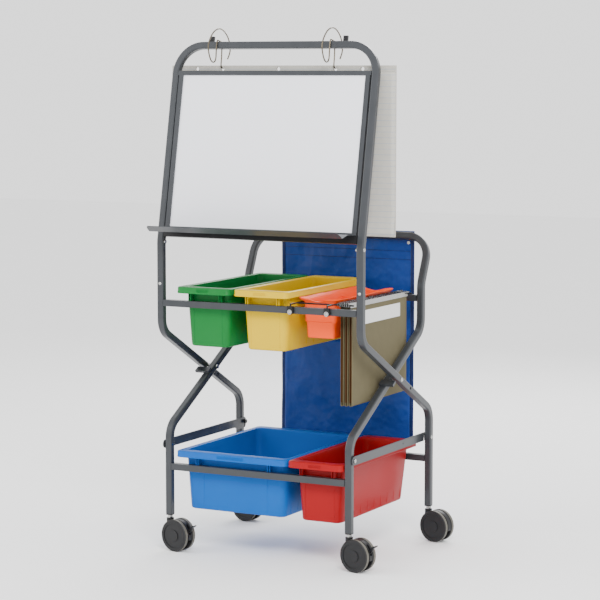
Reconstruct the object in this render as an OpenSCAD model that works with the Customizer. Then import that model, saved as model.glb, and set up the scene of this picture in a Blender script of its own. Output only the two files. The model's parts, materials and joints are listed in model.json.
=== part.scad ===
// Mobile teaching easel: two crossed steel tube frames on twin-wheel casters, a leaning
// writing board with a tray, chart hooks with a chart pad, a fabric chart at the back,
// lift-out tubs, a caddy and hanging folders on a wire rack.
// Millimetres. +Z up, the board faces -Y, origin on the floor under the middle of the part.

/* [Frame] */
// Height of the top rail above the floor
top_h = 1582; // [1500:1:1660]
// Width over the outer frame
frame_w = 712; // [708:1:730]
// Width over the inner frame
inner_w = 648; // [644:1:648]
// Side of the square tube
tube_w = 22; // [20:1:22]
// Wall of the square tube
tube_wall = 1.5; // [1:0.1:2]
// Front face of the outer frame's uprights
outer_front = -252; // [-256:1:-250]
// Rear face of the outer frame's rear legs
outer_rear = 263; // [260:1:266]
// Front face of the inner frame's front legs
inner_front = -262; // [-266:1:-260]
// Rear face of the inner frame's rear uprights
inner_rear = 267; // [264:1:270]
// Height of the leg ends above the floor
leg_end = 113; // [113:1:116]
// Height of the bolts where the frames cross
cross_z = 545; // [540:1:550]
// Backward lean of the board
lean = 10.9; // [9:0.1:12]
// Backward lean of the rear frame's top
rear_lean = 24.6; // [22:0.1:26]

/* [Shelves] */
// Top of the upper shelf rails
upper_shelf = 785; // [780:1:790]
// Top of the lower shelf rails
lower_shelf = 274; // [270:1:280]
// Height of a shelf rail
rail_h = 20; // [18:1:22]

/* [Board] */
// Width of the writing board
board_w = 640; // [620:1:650]
// Length of the tray
tray_w = 660; // [640:1:664]

/* [Chart pad] */
// Width of the chart pad
pad_w = 774; // [760:1:780]
// Height of the chart pad
pad_h = 513; // [500:1:520]
// Distance between the two chart hooks
hook_gap = 392; // [380:1:400]

/* [Rear chart] */
// Width of the fabric chart
chart_w = 483; // [460:1:500]
// Height of the fabric chart
chart_h = 685; // [670:1:700]

/* [Tubs] */
// Width over the rim of a narrow tub
small_tub = 190; // [184:1:190]
// Width over the rim of the wide tub
large_tub = 390; // [380:1:390]
// Length over the rims of the tubs
tub_len = 542; // [536:1:544]
// Depth of the tubs
tub_h = 186; // [180:1:188]

/* [Folders] */
// Length of a hanging folder
folder_len = 386; // [360:1:392]
// Height of a hanging folder
folder_h = 300; // [290:1:305]

/* [Casters] */
// Diameter of a caster wheel
wheel_d = 100; // [98:1:100]
// Distance from the swivel axis to the axle
trail = 33; // [30:1:34]
// Direction in which the casters trail, from +X towards +Y
trail_turn = -10; // [-12:1:12]

/* [Hidden] */
$fn = 48;

// The casters all trail to one side, so the middle of the part is beside the frame's own middle.
frame_x = -23.3;
frame_y = 11.9;

half = tube_w / 2;
tube_round = 4;
seam = 0.01;
bend_r = 60;
corner_r = 90;
rear_corner_r = 75;

outer_x = frame_w / 2 - half;
inner_x = inner_w / 2 - half;
outer_y1 = outer_front + half;
outer_y2 = outer_rear - half;
inner_y1 = inner_front + half;
inner_y2 = inner_rear - half;

cross_y = 24;
outer_slope = 28.4;
inner_slope = 29.9;
outer_bend1_z = cross_z + tan(outer_slope) * (cross_y - outer_y1);
outer_bend2_z = cross_z - tan(outer_slope) * (outer_y2 - cross_y);
inner_bend1_z = cross_z - tan(inner_slope) * (cross_y - inner_y1);
inner_bend2_z = cross_z + tan(inner_slope) * (inner_y2 - cross_y);

joint_z = 855;
joint_bolt_z = 835;
lean_z = 967;
rear_lean_z = 820;
top_run = (top_h - half * (cos(lean) + sin(lean)) - lean_z) / cos(lean);
rear_top_z = 965;
rear_run = (rear_top_z - rear_lean_z) / cos(rear_lean);
rear_top_y = inner_y2 + rear_run * sin(rear_lean);

// The spare bolt hole beside each crossing
spare_hole = 73;

bar_z = 333;
bar_h = 27;
bar_t = 3;
bar_x = (outer_x + inner_x) / 2;
bar_end_y = 249;

hook_x = [-203, -203 + hook_gap];
hook_wire = 4.4;
pad_pin_y = -100;
pad_pin_z = 1500;
pad_mid = 3;
hole_mid = -7;
hole_offsets = [-287, -hook_gap / 2, 0, hook_gap / 2, 287];

channel_z1 = 519;
channel_z2 = 533;
channel_w = 15;

rack_z = 794;
rack_wire = 5;
rack_side_x = [116, 240];
rack_front_y = -213;
rack_rear_y = 198;
rack_end_x = 308;
rod_len = rack_rear_y - rack_front_y;

upper_tub_y = 7;
lower_tub_y = 0;
rim_lift = 24;
green_x = -188;
yellow_x = 13.5;
blue_x = -88;
red_x = 204.5;

caddy_x = 180;
caddy_len = 386;
caddy_y = -2;
caddy_w = 112;
caddy_rim_z = rack_z + rack_wire / 2 + 0.4;

wheel_r = wheel_d / 2;
wheel_t = 16;
wheel_y = 17.5;
axle_r = 4;
stem_r = 5.5;
web_r = 49;
brake_u = 41;
brake_v = 14;

steel = [0.34, 0.35, 0.37];
zinc = [0.78, 0.78, 0.76];

// ---------------------------------------------------------------- helpers

module placed() {
    translate([frame_x, frame_y, 0]) children();
}

module both_sides() {
    for (side = [0, 1]) mirror([side, 0, 0]) children();
}

function arc(cx, cy, r, a1, a2, n) =
    [for (i = [0:n]) [cx + r * cos(a1 + (a2 - a1) * i / n), cy + r * sin(a1 + (a2 - a1) * i / n)]];

function round_rect(w, h, r, n) = concat(
    arc(w / 2 - r, h / 2 - r, r, 0, 90, n),
    arc(-w / 2 + r, h / 2 - r, r, 90, 180, n),
    arc(-w / 2 + r, -h / 2 + r, r, 180, 270, n),
    arc(w / 2 - r, -h / 2 + r, r, 270, 360, n));

module tube_profile() {
    difference() {
        polygon(round_rect(tube_w, tube_w, tube_round, 3));
        square(tube_w - 2 * tube_wall, center = true);
    }
}

// Tube along +Z that bends towards +X, in lengths that meet at the ends of the bends.
// Each step is [straight length, bend, roll before it, radius].
module tube_path(steps, i = 0) {
    if (i < len(steps)) {
        flip = steps[i][1] < 0 ? 180 : 0;
        angle = abs(steps[i][1]);
        radius = steps[i][3];
        rotate([0, 0, steps[i][2]]) {
            translate([0, 0, seam / 2]) linear_extrude(steps[i][0] - seam) tube_profile();
            translate([0, 0, steps[i][0]]) rotate([0, 0, flip]) {
                if (angle > 0)
                    translate([radius, 0, 0]) rotate([90, 0, 180])
                        rotate_extrude(angle = angle) translate([radius, 0]) tube_profile();
                translate([radius * (1 - cos(angle)), 0, radius * sin(angle)])
                    rotate([0, angle, 0]) rotate([0, 0, -flip]) tube_path(steps, i + 1);
            }
        }
    }
}

// Length that a bend takes up on each side of its corner
function tangent(r, angle) = r * tan(abs(angle) / 2);

module rail(width) {
    rotate([0, 90, 0]) linear_extrude(width, center = true) difference() {
        square([rail_h, tube_w], center = true);
        square([rail_h - 2 * tube_wall, tube_w - 2 * tube_wall], center = true);
    }
}

module along_y(r, length) {
    rotate([-90, 0, 0]) cylinder(r = r, h = length);
}

module along_x(r, length) {
    rotate([0, 90, 0]) cylinder(r = r, h = length);
}

// The sheet's points run along one face. The other face is t away on the left-hand side.
function unit(v) = v / norm(v);
function left_of(a, b) = unit([a[1] - b[1], b[0] - a[0]]);
function corner_offset(p, i) =
    let (a = left_of(p[max(i - 1, 0)], p[max(i, 1)]),
         b = left_of(p[min(i, len(p) - 2)], p[min(i + 1, len(p) - 1)]),
         m = unit(a + b))
    m / (m * a);
function sheet(p, t) =
    concat(p, [for (i = [len(p) - 1:-1:0]) p[i] + t * corner_offset(p, i)]);

// Round wire swept along a path in the Y-Z plane
function catmull(p, i, t) =
    let (a = p[max(i - 1, 0)], b = p[i], c = p[i + 1], d = p[min(i + 2, len(p) - 1)])
    0.5 * (2 * b + (c - a) * t + (2 * a - 5 * b + 4 * c - d) * t * t
        + (3 * b - a - 3 * c + d) * t * t * t);
function smooth(p, n) =
    concat([for (i = [0:len(p) - 2], k = [0:n - 1]) catmull(p, i, k / n)], [p[len(p) - 1]]);
function direction(p, i) = unit(p[min(i + 1, len(p) - 1)] - p[max(i - 1, 0)]);

module swept_wire(path, r, sides) {
    rings = len(path);
    points = [for (i = [0:rings - 1], k = [0:sides - 1])
        let (d = direction(path, i), a = 360 * k / sides)
        [r * cos(a), path[i][0] - d[1] * r * sin(a), path[i][1] + d[0] * r * sin(a)]];
    walls = [for (i = [0:rings - 2], k = [0:sides - 1])
        let (n = (k + 1) % sides)
        [i * sides + k, i * sides + n, (i + 1) * sides + n, (i + 1) * sides + k]];
    first = [for (k = [sides - 1:-1:0]) k];
    last = [for (k = [0:sides - 1]) (rings - 1) * sides + k];
    polyhedron(points, concat([first], walls, [last]));
}

// ---------------------------------------------------------------- outer frame

module on_easel() {
    translate([0, outer_y1, lean_z]) rotate([-lean, 0, 0]) children();
}

// A point of the leaning part of the outer frame, as [y, z]
function lean_point(y, z) = [
    outer_y1 + y * cos(lean) + z * sin(lean),
    lean_z - y * sin(lean) + z * cos(lean)];

module joint_screw_holes(r) {
    for (x = [-outer_x, outer_x])
        translate([x, outer_front - 1, joint_bolt_z]) along_y(r, tube_wall * 2 + 3);
}

module easel_tube() {
    side = lean_z - joint_z - tangent(bend_r, lean);
    upright = top_run - tangent(bend_r, lean) - corner_r;
    top = 2 * (outer_x - corner_r);
    inside = tube_w - 2 * tube_wall;
    placed() color(steel) difference() {
        union() {
            translate([-outer_x, outer_y1, joint_z]) rotate([0, 0, 90]) tube_path([
                [side, lean, 0, bend_r],
                [upright, 90, -90, corner_r],
                [top, 90, 0, corner_r],
                [upright, lean, 90, bend_r],
                [side, 0, 0, bend_r]]);
            for (x = [-outer_x, outer_x]) translate([x, outer_y1, 0]) {
                translate([0, 0, joint_z + 8])
                    cube([inside + 0.2, inside + 0.2, 16], center = true);
                translate([0, 0, joint_z - 20]) cube([inside - 0.3, inside - 0.3, 42], center = true);
            }
        }
        joint_screw_holes(3.1);
        for (x = [-outer_x, outer_x])
            translate([x, outer_y1, joint_z - 50]) cylinder(r = 7, h = 70);
        tray_bolt_holes();
    }
}

module tray_bolt_holes() {
    both_sides() translate([outer_x - half - 1, outer_y1, lean_z - 2]) along_x(3.1, tube_w + 2);
}

// One lower leg of the outer frame, on the +X side
module leg_tube() {
    bend = 90 - outer_slope;
    t = tangent(bend_r, bend);
    diagonal = (outer_y2 - outer_y1) / cos(outer_slope) - 2 * t;
    difference() {
        translate([outer_x, outer_y2, leg_end]) rotate([0, 0, 90]) tube_path([
            [outer_bend2_z - leg_end - t, -bend, 0, bend_r],
            [diagonal, bend, 0, bend_r],
            [joint_z - outer_bend1_z - t, 0, 0, bend_r]]);
        joint_screw_holes(3.1);
        translate([outer_x - half - 1, cross_y, cross_z]) along_x(4.1, tube_w + 2);
        translate([outer_x - half - 1, cross_y + spare_hole * cos(outer_slope),
            cross_z - spare_hole * sin(outer_slope)]) along_x(4.5, tube_w + 2);
        translate([outer_x - half - 1, bar_end_y, bar_z]) along_x(4.1, tube_w + 2);
    }
}

module leg_tube_left() {
    placed() color(steel) mirror([1, 0, 0]) leg_tube();
}

module leg_tube_right() {
    placed() color(steel) leg_tube();
}

module front_shelf_rail() {
    placed() color(steel) difference() {
        translate([0, outer_y1, upper_shelf - rail_h / 2]) rail(2 * (outer_x - half));
        for (x = rack_side_x)
            translate([x, outer_front - 1, upper_shelf - rail_h / 2 - screw_drop])
                along_y(2.6, tube_wall + 2);
    }
}

module rear_low_rail() {
    placed() color(steel)
        translate([0, outer_y2, lower_shelf - rail_h / 2]) rail(2 * (outer_x - half));
}

// ---------------------------------------------------------------- inner frame

module rear_frame_tube() {
    bend = 90 - inner_slope;
    t = tangent(bend_r, bend);
    s = tangent(bend_r, rear_lean);
    foot = inner_bend1_z - leg_end - t;
    diagonal = (inner_y2 - inner_y1) / cos(inner_slope) - 2 * t;
    upright = rear_lean_z - inner_bend2_z - t - s;
    leaning = rear_run - s - rear_corner_r;
    top = 2 * (inner_x - rear_corner_r);
    placed() color(steel) difference() {
        translate([-inner_x, inner_y1, leg_end]) rotate([0, 0, 90]) tube_path([
            [foot, bend, 0, bend_r],
            [diagonal, -bend, 0, bend_r],
            [upright, rear_lean, 0, bend_r],
            [leaning, 90, -90, rear_corner_r],
            [top, 90, 0, rear_corner_r],
            [leaning, rear_lean, 90, bend_r],
            [upright, -bend, 0, bend_r],
            [diagonal, bend, 0, bend_r],
            [foot, 0, 0, bend_r]]);
        both_sides() {
            translate([inner_x - half - 1, cross_y, cross_z]) along_x(4.1, tube_w + 2);
            translate([inner_x - half - 1, inner_y1, bar_z]) along_x(4.1, tube_w + 2);
        }
    }
}

module front_low_rail() {
    placed() color(steel)
        translate([0, inner_y1, lower_shelf - rail_h / 2]) rail(2 * (inner_x - half));
}

module rear_shelf_rail() {
    placed() color(steel) difference() {
        translate([0, inner_y2, upper_shelf - rail_h / 2]) rail(2 * (inner_x - half));
        for (x = rack_side_x)
            translate([x, inner_rear - tube_wall - 1, upper_shelf - rail_h / 2 - screw_drop])
                along_y(2.6, tube_wall + 2);
    }
}

// ---------------------------------------------------------------- joints of the frame

// Bolt along +X from the inner frame's inside face to the outer frame's outside face
module cross_bolts() {
    inside = inner_x - half;
    outside = outer_x + half;
    placed() color(zinc) both_sides() translate([0, cross_y, cross_z]) {
        translate([inside - 5, 0, 0]) along_x(4, outside - inside + 5);
        translate([inside - 5, 0, 0]) along_x(7, 5);
        translate([inner_x + half, 0, 0]) along_x(9, outer_x - inner_x - tube_w);
        translate([outside, 0, 0]) rotate([0, 90, 0]) dome_head(7, 4);
    }
}

// Plates welded across the inner frame's diagonals, under the outer frame's
module stop_plates() {
    placed() color(steel) both_sides()
        translate([inner_x, cross_y, cross_z]) rotate([inner_slope, 0, 0])
            translate([-half + 1, -52, half]) cube([48, 22, 8]);
}

module dome_head(r, h) {
    rise = r * 0.9;
    ball = (rise * rise + r * r) / (2 * rise);
    intersection() {
        cylinder(r = r, h = h);
        translate([0, 0, h - ball]) sphere(r = ball);
    }
}

module frame_bolts() {
    placed() color(zinc) {
        for (x = [-outer_x, outer_x]) translate([x, outer_front, joint_bolt_z]) {
            along_y(3, tube_wall * 2 + 1.5);
            rotate([90, 0, 0]) dome_head(6, 3);
        }
        both_sides() {
            translate([outer_x, outer_y1, lean_z - 2]) {
                translate([-half - 5, 0, 0]) along_x(3, tube_w + 5);
                translate([-half - 5, 0, 0]) along_x(5.5, 5);
                translate([half, 0, 0]) rotate([0, 90, 0]) dome_head(6.5, 3.5);
            }
            translate([inner_x, inner_y1, bar_z]) {
                translate([-half + 0.2, 0, 0]) along_x(4, tube_w + 9.8);
                translate([bar_x + bar_t / 2 + 0.4 - inner_x, 0, 0]) along_x(6.5, 2.6);
            }
            translate([outer_x, bar_end_y, bar_z]) {
                translate([bar_x - bar_t / 2 - 0.5 - outer_x, 0, 0])
                    along_x(4, outer_x + half - bar_x + bar_t / 2 + 0.5);
                translate([half, 0, 0]) rotate([0, 90, 0]) dome_head(6.5, 3.5);
            }
        }
    }
}

// Caps on the studs that the tie bars hook over
module latch_caps() {
    placed() color([0.08, 0.08, 0.09]) both_sides()
        translate([bar_x - bar_t / 2 - 8.5, bar_end_y, bar_z]) along_x(6.5, 8);
}

// ---------------------------------------------------------------- tie bars

// Flat bar that hooks down over the rear stud and turns about the front bolt
module tie_bar(plate_h) {
    front = inner_y1;
    slot_w = 8.6;
    translate([bar_x - bar_t / 2, 0, 0]) rotate([90, 0, 90]) linear_extrude(bar_t) difference() {
        union() {
            polygon(concat(
                arc(front, bar_z, bar_h / 2, 90, 270, 12),
                [[bar_end_y - 60, bar_z - bar_h / 2],
                 [bar_end_y - 44, bar_z - plate_h / 2],
                 [bar_end_y + 4, bar_z - plate_h / 2],
                 [bar_end_y + 12, bar_z - plate_h / 2 + 8],
                 [bar_end_y + 12, bar_z + bar_h / 2 - 6],
                 [bar_end_y + 6, bar_z + bar_h / 2]]));
        }
        translate([front, bar_z]) circle(r = 4.05);
        translate([bar_end_y, bar_z]) circle(r = slot_w / 2);
        translate([bar_end_y - slot_w / 2, bar_z - plate_h]) square([slot_w, plate_h]);
        translate([90, bar_z + 1]) circle(r = 2.5);
    }
}

module tie_bar_left() {
    placed() color(steel) mirror([1, 0, 0]) tie_bar(44);
}

module tie_bar_right() {
    placed() color(steel) tie_bar(bar_h);
}

// ---------------------------------------------------------------- board and tray

module board_panel() {
    inset = 4;
    placed() color([0.9, 0.9, 0.92]) on_easel()
        translate([-board_w / 2, -half + inset, 34]) cube([board_w, 8, channel_z1 - 30]);
}

// Channel with its lips in front of and behind the panel
module board_channel_top() {
    width = 2 * (outer_x - half) - 1.4;
    placed() color(steel) on_easel() difference() {
        translate([-width / 2, -half, channel_z1]) cube([width, 20, channel_z2 - channel_z1]);
        translate([-board_w / 2 - 0.2, -half + 4, channel_z1 - 1]) cube([board_w + 0.4, 8, 5]);
    }
}

module board_channels_side() {
    x1 = board_w / 2 - 5;
    placed() color(steel) on_easel() both_sides() difference() {
        translate([x1, -half, 46]) cube([channel_w, 20, channel_z1 - 46]);
        translate([x1 - 1, -half + 4, 45]) cube([6, 8, channel_z1 - 44]);
    }
}

module board_rail_bottom() {
    width = 2 * (outer_x - half);
    placed() color([0.1, 0.1, 0.11]) on_easel() difference() {
        translate([-width / 2, -half + 0.2, 14]) cube([width, 20, 32]);
        translate([-board_w / 2 - 0.2, -half + 4, 34]) cube([board_w + 0.4, 8, 20]);
    }
}

module tray() {
    t = 1.6;
    lip_top = [-362, 1021];
    groove = [-336, 1003.5];
    ridge = [-298, 1012];
    back = lean_point(0.2 - half, 38);
    flange = lean_point(0.2 - half, 45.5);
    corner = 15;
    placed() color(steel) difference() {
        translate([-tray_w / 2, 0, 0]) rotate([90, 0, 90]) linear_extrude(tray_w)
            polygon(sheet([lip_top, groove, ridge, back, flange], t));
        both_sides() translate([tray_w / 2 - corner, lip_top[0] - 10, lip_top[1] + 2 - corner])
            rotate([-90, 0, 0]) linear_extrude(34) difference() {
                translate([0, -corner - 1]) square(corner + 1);
                circle(r = corner);
            }
    }
}

// ---------------------------------------------------------------- chart hooks and pad

// Wire from the tail behind the rail, over and down in front, then over the rail to the pad
module chart_hook(x) {
    path = smooth([
        [-72, 1528], [-56, 1553], [-63, 1586], [-88, 1611], [-122, 1621], [-158, 1610],
        [-186, 1581], [-190, 1554], [-177, 1526], [-159, 1518], [-146, 1528], [-142, 1556],
        [-137.4, 1579], [-132.9, 1585.4], [-122, 1583.2], [-111.2, 1580.6], [-107.2, 1573],
        [-109.4, 1535], [-113, 1511], [-111, 1503.5], [-106, 1500.4], [-100, pad_pin_z],
        [-93, 1501], [-88, 1506]], 3);
    color([0.66, 0.60, 0.48]) translate([x, 0, 0]) swept_wire(path, hook_wire / 2, 8);
}

module chart_hook_left() {
    placed() chart_hook(hook_x[0]);
}

module chart_hook_right() {
    placed() chart_hook(hook_x[1]);
}

// Square pegs behind the top rail, outside the hooks
module hook_stops() {
    placed() color([0.06, 0.06, 0.07]) on_easel()
        for (x = [hook_x[0] - 34, hook_x[1] + 37])
            translate([x - 7, half, top_run - 8]) cube([14, 8, 39]);
}

module pad_holes(y, t) {
    for (dx = hole_offsets)
        translate([hole_mid + dx, y - 1, pad_pin_z - 2.5]) along_y(6.5, t + 2);
}

module pad_sheets() {
    placed() color([0.88, 0.87, 0.84]) difference() {
        translate([pad_mid - pad_w / 2, pad_pin_y - 4, pad_pin_z + 8 - pad_h])
            cube([pad_w, 6, pad_h]);
        pad_holes(pad_pin_y - 4, 6);
    }
}

module pad_backing() {
    placed() color([0.62, 0.54, 0.42]) difference() {
        translate([pad_mid - pad_w / 2, pad_pin_y + 2, pad_pin_z + 8 - pad_h])
            cube([pad_w, 1.6, pad_h]);
        pad_holes(pad_pin_y + 2, 1.6);
    }
}

// ---------------------------------------------------------------- fabric chart at the back

// The chart hangs behind the rear frame's top rail from a hem that lies over the rail
chart_x = 10.5;
chart_t = 2.4;
chart_y = rear_top_y + (half - tube_round) * (cos(rear_lean) + sin(rear_lean)) + tube_round + 0.1;
chart_top = rear_top_z + (half - tube_round) * (cos(rear_lean) + sin(rear_lean)) + tube_round + 0.1;

module rear_chart() {
    placed() color([0.1, 0.28, 0.62]) translate([chart_x - chart_w / 2, chart_y, chart_top]) {
        translate([0, 0, -chart_h]) cube([chart_w, chart_t, chart_h + chart_t]);
        translate([0, -14, 0]) cube([chart_w, 14 + chart_t, chart_t]);
    }
}

module chart_snaps() {
    placed() color(zinc) for (side = [-1, 1], z = [chart_top - 36, chart_top - chart_h + 14])
        translate([chart_x + side * (chart_w / 2 - 20), chart_y - 1.6, z]) along_y(5, 1.6);
}

// ---------------------------------------------------------------- rack, folders and caddy

module wire_y(x, y1, y2, z) {
    translate([x, y1, z]) along_y(rack_wire / 2, y2 - y1);
}

module file_rack() {
    drop = rack_z - upper_shelf + rail_h / 2;
    front = outer_front - rack_wire / 2 - 1;
    rear = inner_rear + rack_wire / 2 + 1;
    placed() color([0.05, 0.05, 0.06]) {
        for (x = rack_side_x) {
            wire_y(x, front, rear, rack_z);
            for (y = [front, rear]) {
                translate([x, y, rack_z]) sphere(r = rack_wire / 2);
                translate([x, y, rack_z - drop]) cylinder(r = rack_wire / 2, h = drop);
            }
        }
        for (y = [rack_front_y, rack_rear_y])
            translate([rack_side_x[0], y, rack_z]) along_x(rack_wire / 2, rack_end_x - rack_side_x[0]);
    }
}

clamp_t = 8.5;
screw_drop = 4.6;

module at_clamps() {
    z = upper_shelf - rail_h / 2;
    for (x = rack_side_x) {
        translate([x, outer_front, z]) children();
        translate([x, inner_rear, z]) mirror([0, 1, 0]) children();
    }
}

// Rubber cushion clamps that hold the rack's wire ends to the rails
module rack_clamps() {
    y = -rack_wire / 2 - 1;
    placed() color([0.04, 0.04, 0.04]) at_clamps() difference() {
        union() {
            translate([0, -clamp_t, -2]) along_y(10.5, clamp_t);
            translate([-9, -clamp_t, -2]) cube([18, clamp_t, 15]);
        }
        translate([0, y, -0.1]) cylinder(r = rack_wire / 2 + 0.05, h = 20);
        translate([0, -clamp_t - 1, -screw_drop]) along_y(2.5, clamp_t + 2);
    }
}

module clamp_screws() {
    washer_t = 1.4;
    placed() color(zinc) at_clamps() translate([0, -clamp_t, -screw_drop]) {
        along_y(2.4, clamp_t + 1.9);
        translate([0, -washer_t, 0]) along_y(7.5, washer_t);
        translate([0, -washer_t, 0]) rotate([90, 0, 0]) dome_head(4.8, 2.6);
    }
}

folder_x = [262, 276.5, 291];
folder_t = 9;
folder_wall = 1.2;
folder_top = rack_z - 8;
folder_y = (rack_front_y + rack_rear_y) / 2;

// Paper pocket, open at the top and the ends
module folder(x) {
    color([0.56, 0.53, 0.41]) difference() {
        translate([x - folder_t / 2, folder_y - folder_len / 2, folder_top - folder_h])
            cube([folder_t, folder_len, folder_h]);
        translate([x - folder_t / 2 + folder_wall, folder_y - folder_len / 2 - 1,
            folder_top - folder_h + folder_wall])
            cube([folder_t - 2 * folder_wall, folder_len + 2, folder_h]);
    }
}

module folder_inner() {
    placed() folder(folder_x[0]);
}

module folder_middle() {
    placed() folder(folder_x[1]);
}

module folder_outer() {
    placed() folder(folder_x[2]);
}

// The two hanging rods of one folder, one along each wall, hooked over the rack's cross wires
module folder_rods(x) {
    over = 8;
    inside = rack_wire / 2 + 1;
    z = rack_z + rack_wire / 2 + 0.3;
    color([0.62, 0.63, 0.62]) for (side = [-1, 1]) {
        x1 = x + side * (folder_t - folder_wall) / 2 - folder_wall / 2;
        translate([x1, rack_front_y - over, z]) cube([folder_wall, rod_len + 2 * over, 4]);
        translate([x1, rack_front_y + inside, folder_top])
            cube([folder_wall, rod_len - 2 * inside, z - folder_top + 1]);
        for (y = [rack_front_y - over, rack_rear_y + over - 3])
            translate([x1, y, z - 6]) cube([folder_wall, 3, 7]);
    }
}

module rods_inner() {
    placed() folder_rods(folder_x[0]);
}

module rods_middle() {
    placed() folder_rods(folder_x[1]);
}

module rods_outer() {
    placed() folder_rods(folder_x[2]);
}

// A block with rounded corners that narrows downwards, its top at z = 0. Its sides, its front
// and its rear each have their own draft.
module tapered(w, l, h, side, front, rear, r) {
    hull() {
        translate([0, 0, -1]) linear_extrude(1) polygon(round_rect(w, l, r, 6));
        translate([0, (front - rear) / 2, -h]) linear_extrude(1)
            polygon(round_rect(w - 2 * side, l - front - rear, r, 6));
    }
}

module caddy() {
    wall = 2;
    step_h = 62;
    depth = 112;
    lower_w = caddy_w - 14;
    lower_l = caddy_len - 36;
    lower_y = -9;
    rim_w = caddy_w + 29;
    placed() color([0.93, 0.36, 0.17])
        translate([caddy_x, caddy_y, caddy_rim_z]) difference() {
            union() {
                linear_extrude(3) polygon(round_rect(rim_w, caddy_len + 12, 16, 6));
                linear_extrude(12) polygon(round_rect(caddy_w, caddy_len - 12, 14, 6));
                tapered(caddy_w, caddy_len - 12, step_h, 3, 3, 3, 14);
                translate([0, lower_y, -step_h + 1])
                    tapered(lower_w, lower_l, depth - step_h, 3, 3, 3, 12);
            }
            translate([0, 0, -step_h + wall])
                linear_extrude(100) polygon(round_rect(caddy_w - 12, caddy_len - 24, 12, 6));
            translate([0, lower_y, -depth + wall + 1])
                linear_extrude(depth - step_h) polygon(round_rect(lower_w - 12, lower_l - 12, 10, 6));
            scoop();
        }
}

// Rounded dips in the raised front and rear edges of the caddy
module scoop() {
    for (y = [-caddy_len / 2, caddy_len / 2])
        translate([0, y - 15, 34]) along_y(31, 30);
}

// ---------------------------------------------------------------- tubs

// Open tub with its rim turned down, standing on the shelf rails by ribs under the rim
module tub(x, y, w, shelf) {
    body_w = w - 30;
    body_l = 468;
    rim_h = 20;
    wall = 2.4;
    side = 12;
    front = 3;
    rear = 20;
    r = 22;
    translate([x, y, shelf + rim_lift]) {
        difference() {
            union() {
                linear_extrude(rim_h) polygon(round_rect(w, tub_len, 20, 6));
                tapered(body_w, body_l, tub_h - rim_h, side, front, rear, r);
            }
            tub_rim_underside(w, body_w, body_l, rim_h);
            translate([0, 0, rim_h + 1]) tapered(body_w - 2 * wall, body_l - 2 * wall,
                tub_h - wall + 1, side, front, rear, r - wall);
        }
        tub_ribs(body_w, body_l);
    }
}

// The hollow between the turned-down lip and the body
module tub_rim_underside(w, body_w, body_l, rim_h) {
    wall = 2.4;
    translate([0, 0, -1]) linear_extrude(rim_h + 1 - wall) difference() {
        polygon(round_rect(w - 2 * wall, tub_len - 2 * wall, 18, 6));
        polygon(round_rect(body_w, body_l, 22, 6));
    }
}

// Upright ribs at both ends that stand on the shelf rails
module tub_ribs(body_w, body_l) {
    reach = 22;
    drop = rim_lift - 0.3;
    for (end = [-1, 1], x = [-body_w * 0.36, -body_w * 0.36 + 7, body_w * 0.36 - 7, body_w * 0.36])
        translate([x - 1.2, end > 0 ? body_l / 2 - 3 : -body_l / 2 - reach + 3, -drop])
            cube([2.4, reach, drop + 17]);
}

module tub_green() {
    placed() color([0.24, 0.56, 0.36]) tub(green_x, upper_tub_y, small_tub, upper_shelf);
}

module tub_yellow() {
    placed() color([0.91, 0.79, 0.23]) tub(yellow_x, upper_tub_y, small_tub, upper_shelf);
}

module tub_blue() {
    placed() color([0.18, 0.50, 0.77]) tub(blue_x, lower_tub_y, large_tub, lower_shelf);
}

module tub_red() {
    placed() color([0.76, 0.23, 0.24]) tub(red_x, lower_tub_y, small_tub, lower_shelf);
}

// ---------------------------------------------------------------- casters

caster_spots = [
    [-inner_x, inner_y1], [inner_x, inner_y1], [-outer_x, outer_y2], [outer_x, outer_y2]];

// Plastic sockets pressed into the leg ends
module leg_sockets() {
    inside = tube_w - 2 * tube_wall;
    placed() color([0.05, 0.05, 0.05]) for (spot = caster_spots) translate([spot[0], spot[1], 0])
        difference() {
            union() {
                translate([0, 0, leg_end + 17]) cube([inside, inside, 34], center = true);
                translate([0, 0, leg_end - 3.5]) linear_extrude(3.5)
                    polygon(round_rect(tube_w - 1, tube_w - 1, tube_round, 3));
            }
            translate([0, 0, leg_end - 4]) cylinder(r = stem_r, h = 40);
        }
}

module caster_stems() {
    placed() color(zinc) for (spot = caster_spots) translate([spot[0], spot[1], 0]) {
        translate([0, 0, leg_end - 3.5]) cylinder(r = stem_r, h = 36);
        translate([0, 0, leg_end - 12]) cylinder(r = 8.5, h = 8.5, $fn = 6);
        translate([0, 0, 66]) cylinder(r = stem_r - 0.5, h = leg_end - 12 - 66);
    }
}

module at_caster(i) {
    translate([caster_spots[i][0], caster_spots[i][1], 0]) rotate([0, 0, trail_turn]) children();
}

module at_axle(i) {
    at_caster(i) translate([trail, 0, wheel_r]) children();
}

// The web between the two wheels, seen from the side with the axle at [0, 0]
module hood_side() {
    circle(r = 14);
    intersection() {
        circle(r = web_r);
        polygon([[-60, 4], [60, -14], [60, 60], [-60, 60]]);
    }
}

// Housing between the two wheels of one caster, turning on the stem
module hood(i, braked) {
    web = 7.5;
    top = leg_end - 12.6;
    placed() color([0.12, 0.12, 0.13]) difference() {
        union() {
            at_axle(i) rotate([90, 0, 0]) linear_extrude(2 * web, center = true) hood_side();
            at_caster(i) translate([0, 0, 60]) cylinder(r = 11.5, h = top - 60);
        }
        at_axle(i) for (y = [-web - 40, web])
            translate([0, y, 0]) along_y(wheel_r + 1.2, 40);
        at_axle(i) translate([0, -web - 1, 0]) along_y(axle_r, 2 * web + 2);
        at_caster(i) translate([0, 0, 65.5]) cylinder(r = stem_r - 0.45, h = 60);
        if (braked) at_axle(i) {
            translate([32, -4.5, 4]) cube([40, 9, 60]);
            translate([brake_u, -web - 1, brake_v]) along_y(3.05, 2 * web + 2);
        }
    }
}

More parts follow.
